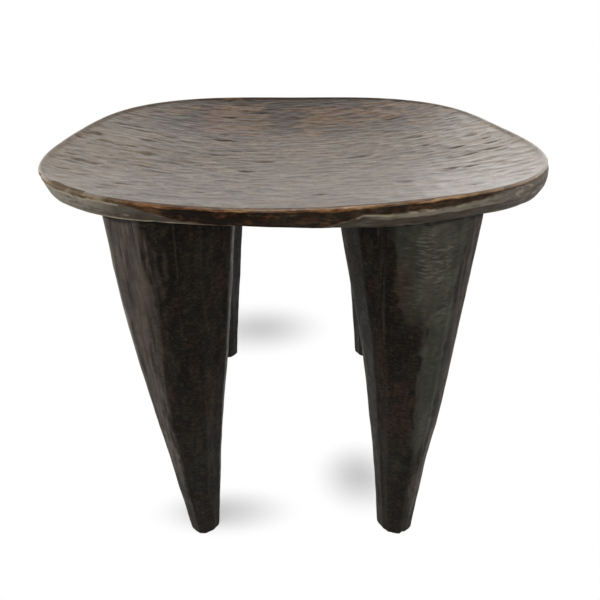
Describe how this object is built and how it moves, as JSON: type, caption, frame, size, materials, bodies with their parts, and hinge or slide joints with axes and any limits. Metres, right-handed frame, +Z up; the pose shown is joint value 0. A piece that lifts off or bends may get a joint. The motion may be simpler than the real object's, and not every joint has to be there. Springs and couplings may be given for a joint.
{
  "type": "carved wooden stool",
  "caption": "Low carved wooden stool with a dished rounded-square seat, undercut rim and faceted legs that taper to small feet.",
  "frame": {"origin": "on the floor, under the middle of the seat's bounding box", "axes": "+Z up, +X along the seat's width to the right, -Y towards the front"},
  "size_m": [0.43, 0.386, 0.35],
  "materials": {
    "seat_wood": "hand-adzed, worn and handled to a soft grey-brown sheen",
    "leg_wood": "hand-adzed, smoke-dark patina"
  },
  "bodies": {
    "root": {"seat": "seat_wood", "leg_front_left": "leg_wood", "leg_front_right": "leg_wood", "leg_rear_left": "leg_wood", "leg_rear_right": "leg_wood"}
  },
  "joints": []
}
